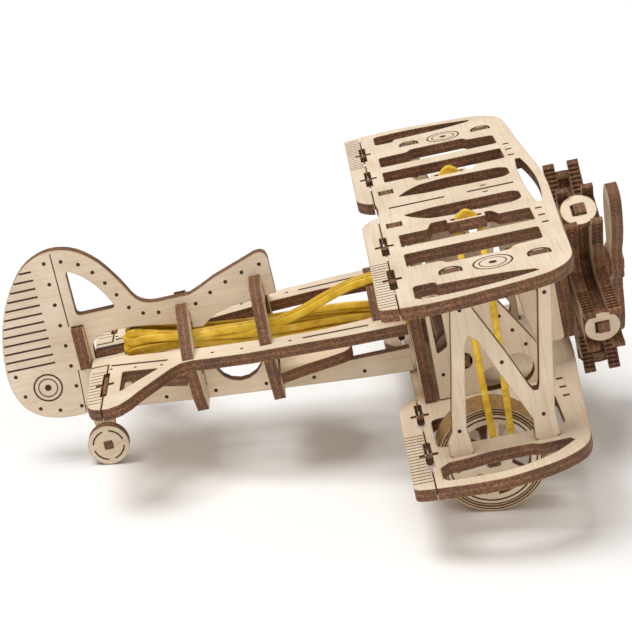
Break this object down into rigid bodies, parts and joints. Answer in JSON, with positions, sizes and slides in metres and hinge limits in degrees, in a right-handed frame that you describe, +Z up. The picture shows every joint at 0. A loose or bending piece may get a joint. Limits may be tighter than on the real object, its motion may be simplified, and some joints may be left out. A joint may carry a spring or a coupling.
{
  "type": "model biplane",
  "caption": "Free-standing laser-cut plywood biplane model with hinged control surfaces, a rubber motor, a finned radial engine and a propeller.",
  "frame": {"origin": "on the ground plane, below the centre of the overall box", "axes": "+X towards the propeller, +Y towards the port wing tips, +Z up; the model stands nose-up on its main wheels and tail wheel"},
  "size_m": [0.1678, 0.1598, 0.0743],
  "materials": {
    "aileron_lower_port": "laser-cut 3 mm birch plywood, matte, burnt edges",
    "aileron_lower_starboard": "laser-cut 3 mm birch plywood, matte, burnt edges",
    "aileron_upper_port": "laser-cut 3 mm birch plywood, matte, burnt edges",
    "aileron_upper_starboard": "laser-cut 3 mm birch plywood, matte, burnt edges",
    "belly_front": "laser-cut 3 mm birch plywood, matte, burnt edges",
    "belly_rear": "laser-cut 3 mm birch plywood, matte, burnt edges",
    "cylinder_washer_1": "laser-cut 3 mm birch plywood, matte, burnt edges",
    "cylinder_washer_2": "laser-cut 3 mm birch plywood, matte, burnt edges",
    "cylinder_washer_3": "laser-cut 3 mm birch plywood, matte, burnt edges",
    "cylinder_washer_4": "laser-cut 3 mm birch plywood, matte, burnt edges",
    "cylinder_washer_5": "laser-cut 3 mm birch plywood, matte, burnt edges",
    "deck_tailplane": "laser-cut 3 mm birch plywood, matte, burnt edges",
    "drum_cheek_port": "laser-cut 3 mm birch plywood, matte, burnt edges",
    "drum_cheek_starboard": "laser-cut 3 mm birch plywood, matte, burnt edges",
    "drum_shaft": "laser-burnt plywood edge, matte",
    "elevator_port": "laser-cut 3 mm birch plywood, matte, burnt edges",
    "elevator_starboard": "laser-cut 3 mm birch plywood, matte, burnt edges",
    "engine_shaft": "laser-burnt plywood edge, matte",
    "engine_spider": "laser-burnt plywood edge, matte",
    "engine_star_front": "laser-cut 3 mm birch plywood, matte, burnt edges",
    "engine_star_rear": "laser-cut 3 mm birch plywood, matte, burnt edges",
    "firewall": "laser-cut 3 mm birch plywood, matte, burnt edges",
    "flying_band_port": "yellow natural rubber, satin",
    "flying_band_starboard": "yellow natural rubber, satin",
    "frame_cockpit": "laser-cut 3 mm birch plywood, matte, burnt edges",
    "frame_headrest": "laser-cut 3 mm birch plywood, matte, burnt edges",
    "frame_main": "laser-cut 3 mm birch plywood, matte, burnt edges",
    "frame_tail": "laser-cut 3 mm birch plywood, matte, burnt edges",
    "keel_fin": "laser-cut 3 mm birch plywood, matte, burnt edges",
    "lower_wing": "laser-cut 3 mm birch plywood, matte, burnt edges",
    "main_axle": "laser-burnt plywood edge, matte",
    "n_strut_port": "laser-cut 3 mm birch plywood, matte, burnt edges",
    "n_strut_starboard": "laser-cut 3 mm birch plywood, matte, burnt edges",
    "nose_panel_port": "laser-cut 3 mm birch plywood, matte, burnt edges",
    "nose_panel_starboard": "laser-cut 3 mm birch plywood, matte, burnt edges",
    "peg_elevator_port": "laser-burnt plywood edge, matte",
    "peg_elevator_starboard": "laser-burnt plywood edge, matte",
    "peg_lower_port_inner": "laser-burnt plywood edge, matte",
    "peg_lower_port_outer": "laser-burnt plywood edge, matte",
    "peg_lower_starboard_inner": "laser-burnt plywood edge, matte",
    "peg_lower_starboard_outer": "laser-burnt plywood edge, matte",
    "peg_upper_port_inner": "laser-burnt plywood edge, matte",
    "peg_upper_port_outer": "laser-burnt plywood edge, matte",
    "peg_upper_starboard_inner": "laser-burnt plywood edge, matte",
    "peg_upper_starboard_outer": "laser-burnt plywood edge, matte",
    "propeller": "laser-cut 3 mm birch plywood, matte, burnt edges",
    "propeller_spacer": "laser-cut 3 mm birch plywood, matte, burnt edges",
    "rubber_motor": "yellow natural rubber, satin",
    "side_panel_port": "laser-cut 3 mm birch plywood, matte, burnt edges",
    "side_panel_starboard": "laser-cut 3 mm birch plywood, matte, burnt edges",
    "tail_axle": "laser-burnt plywood edge, matte",
    "tail_hook": "laser-burnt plywood edge, matte",
    "tail_post": "laser-cut 3 mm birch plywood, matte, burnt edges",
    "tail_wheel": "laser-cut 3 mm birch plywood, matte, burnt edges",
    "upper_wing": "laser-cut 3 mm birch plywood, matte, burnt edges",
    "wheel_disc_port": "laser-cut 3 mm birch plywood, matte, burnt edges",
    "wheel_disc_starboard": "laser-cut 3 mm birch plywood, matte, burnt edges",
    "wheel_rim_port": "laser-cut plywood laminations seen edge-on, matte",
    "wheel_rim_starboard": "laser-cut plywood laminations seen edge-on, matte",
    "winding_drum": "laser-cut 3 mm birch plywood, matte, burnt edges"
  },
  "bodies": {
    "airframe": {"belly_front": "belly_front", "belly_rear": "belly_rear", "deck_tailplane": "deck_tailplane", "firewall": "firewall", "flying_band_port": "flying_band_port", "flying_band_starboard": "flying_band_starboard", "frame_cockpit": "frame_cockpit", "frame_headrest": "frame_headrest", "frame_main": "frame_main", "frame_tail": "frame_tail", "keel_fin": "keel_fin", "lower_wing": "lower_wing", "n_strut_port": "n_strut_port", "n_strut_starboard": "n_strut_starboard", "nose_panel_port": "nose_panel_port", "nose_panel_starboard": "nose_panel_starboard", "peg_elevator_port": "peg_elevator_port", "peg_elevator_starboard": "peg_elevator_starboard", "peg_lower_port_inner": "peg_lower_port_inner", "peg_lower_port_outer": "peg_lower_port_outer", "peg_lower_starboard_inner": "peg_lower_starboard_inner", "peg_lower_starboard_outer": "peg_lower_starboard_outer", "peg_upper_port_inner": "peg_upper_port_inner", "peg_upper_port_outer": "peg_upper_port_outer", "peg_upper_starboard_inner": "peg_upper_starboard_inner", "peg_upper_starboard_outer": "peg_upper_starboard_outer", "rubber_motor": "rubber_motor", "side_panel_port": "side_panel_port", "side_panel_starboard": "side_panel_starboard", "tail_hook": "tail_hook", "tail_post": "tail_post", "upper_wing": "upper_wing"},
    "aileron_upper_port": {"aileron_upper_port": "aileron_upper_port"},
    "aileron_upper_starboard": {"aileron_upper_starboard": "aileron_upper_starboard"},
    "aileron_lower_port": {"aileron_lower_port": "aileron_lower_port"},
    "aileron_lower_starboard": {"aileron_lower_starboard": "aileron_lower_starboard"},
    "elevator_port": {"elevator_port": "elevator_port"},
    "elevator_starboard": {"elevator_starboard": "elevator_starboard"},
    "main_wheels": {"main_axle": "main_axle", "wheel_disc_port": "wheel_disc_port", "wheel_disc_starboard": "wheel_disc_starboard", "wheel_rim_port": "wheel_rim_port", "wheel_rim_starboard": "wheel_rim_starboard"},
    "tail_wheel": {"tail_axle": "tail_axle", "tail_wheel": "tail_wheel"},
    "rotary_engine": {"cylinder_washer_1": "cylinder_washer_1", "cylinder_washer_2": "cylinder_washer_2", "cylinder_washer_3": "cylinder_washer_3", "cylinder_washer_4": "cylinder_washer_4", "cylinder_washer_5": "cylinder_washer_5", "engine_shaft": "engine_shaft", "engine_spider": "engine_spider", "engine_star_front": "engine_star_front", "engine_star_rear": "engine_star_rear", "propeller": "propeller", "propeller_spacer": "propeller_spacer"},
    "winding_drum": {"drum_cheek_port": "drum_cheek_port", "drum_cheek_starboard": "drum_cheek_starboard", "drum_shaft": "drum_shaft", "winding_drum": "winding_drum"}
  },
  "joints": [
    {"name": "aileron_upper_port_hinge", "type": "hinge", "parent": "airframe", "child": "aileron_upper_port", "pos_m": [0.01605, 0.045, 0.06337], "axis": [0, 1, 0], "range_deg": [-10, 10]},
    {"name": "aileron_lower_port_hinge", "type": "hinge", "parent": "airframe", "child": "aileron_lower_port", "pos_m": [0.02345, 0.045, 0.01842], "axis": [0, 1, 0], "range_deg": [-10, 10]},
    {"name": "elevator_port_hinge", "type": "hinge", "parent": "airframe", "child": "elevator_port", "pos_m": [-0.05559, 0.024, 0.0282], "axis": [0, 1, 0], "range_deg": [-10, 10]},
    {"name": "aileron_upper_starboard_hinge", "type": "hinge", "parent": "airframe", "child": "aileron_upper_starboard", "pos_m": [0.01605, -0.045, 0.06337], "axis": [0, 1, 0], "range_deg": [-10, 10]},
    {"name": "aileron_lower_starboard_hinge", "type": "hinge", "parent": "airframe", "child": "aileron_lower_starboard", "pos_m": [0.02345, -0.045, 0.01842], "axis": [0, 1, 0], "range_deg": [-10, 10]},
    {"name": "elevator_starboard_hinge", "type": "hinge", "parent": "airframe", "child": "elevator_starboard", "pos_m": [-0.05559, -0.024, 0.0282], "axis": [0, 1, 0], "range_deg": [-10, 10]},
    {"name": "main_wheel_spin", "type": "hinge", "parent": "airframe", "child": "main_wheels", "pos_m": [0.03983, 0, 0.01377], "axis": [0, 1, 0], "continuous": true},
    {"name": "tail_wheel_spin", "type": "hinge", "parent": "airframe", "child": "tail_wheel", "pos_m": [-0.05793, 0, 0.00547], "axis": [0, 1, 0], "continuous": true},
    {"name": "engine_spin", "type": "hinge", "parent": "airframe", "child": "rotary_engine", "pos_m": [0.06946, 0, 0.04673], "axis": [0.9867, 0, 0.1625], "continuous": true},
    {"name": "winding_drum_spin", "type": "hinge", "parent": "airframe", "child": "winding_drum", "pos_m": [0.0354, 0, 0.03139], "axis": [0, 1, 0], "continuous": true}
  ]
}
